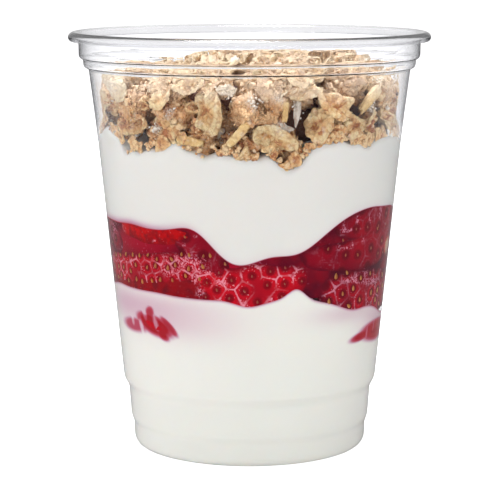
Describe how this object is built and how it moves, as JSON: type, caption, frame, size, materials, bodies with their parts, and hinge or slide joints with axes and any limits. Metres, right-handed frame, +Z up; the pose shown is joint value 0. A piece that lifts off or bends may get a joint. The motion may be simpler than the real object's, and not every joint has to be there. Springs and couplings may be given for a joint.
{
  "type": "yogurt parfait",
  "caption": "Clear plastic cup layered with plain yogurt, sliced strawberries, more yogurt and a heap of oat granola, open at the top.",
  "frame": {"origin": "centre of the cup's foot ring, on the surface it stands on", "axes": "+Z up along the cup's axis, -Y to the side shown as the front, +X to its right"},
  "size_m": [0.0982, 0.0982, 0.113],
  "materials": {
    "clear_plastic": "clear, glossy thermoformed sheet",
    "yogurt": "smooth, moist, slightly translucent",
    "strawberry": "wet red skin with small golden seeds",
    "strawberry_bed": "wet, dark red cut fruit and juice",
    "granola": "dry, crumbly toasted oats"
  },
  "bodies": {
    "root": {"cup": "clear_plastic", "granola": "granola", "strawberry_back_half_1": "strawberry", "strawberry_back_half_2": "strawberry", "strawberry_back_half_3": "strawberry", "strawberry_back_half_4": "strawberry", "strawberry_back_slice_1": "strawberry", "strawberry_back_slice_2": "strawberry", "strawberry_back_slice_3": "strawberry", "strawberry_back_slice_4": "strawberry", "strawberry_back_slice_5": "strawberry", "strawberry_bed": "strawberry_bed", "strawberry_front_half": "strawberry", "strawberry_left_chunk": "strawberry", "strawberry_left_cut": "strawberry", "strawberry_left_half": "strawberry", "strawberry_left_slice": "strawberry", "strawberry_left_tip": "strawberry", "strawberry_right_cut": "strawberry", "strawberry_right_half": "strawberry", "strawberry_right_slice": "strawberry", "strawberry_sunk_back": "strawberry", "strawberry_sunk_left": "strawberry", "strawberry_sunk_right": "strawberry", "yogurt_lower": "yogurt", "yogurt_upper": "yogurt"}
  },
  "joints": []
}
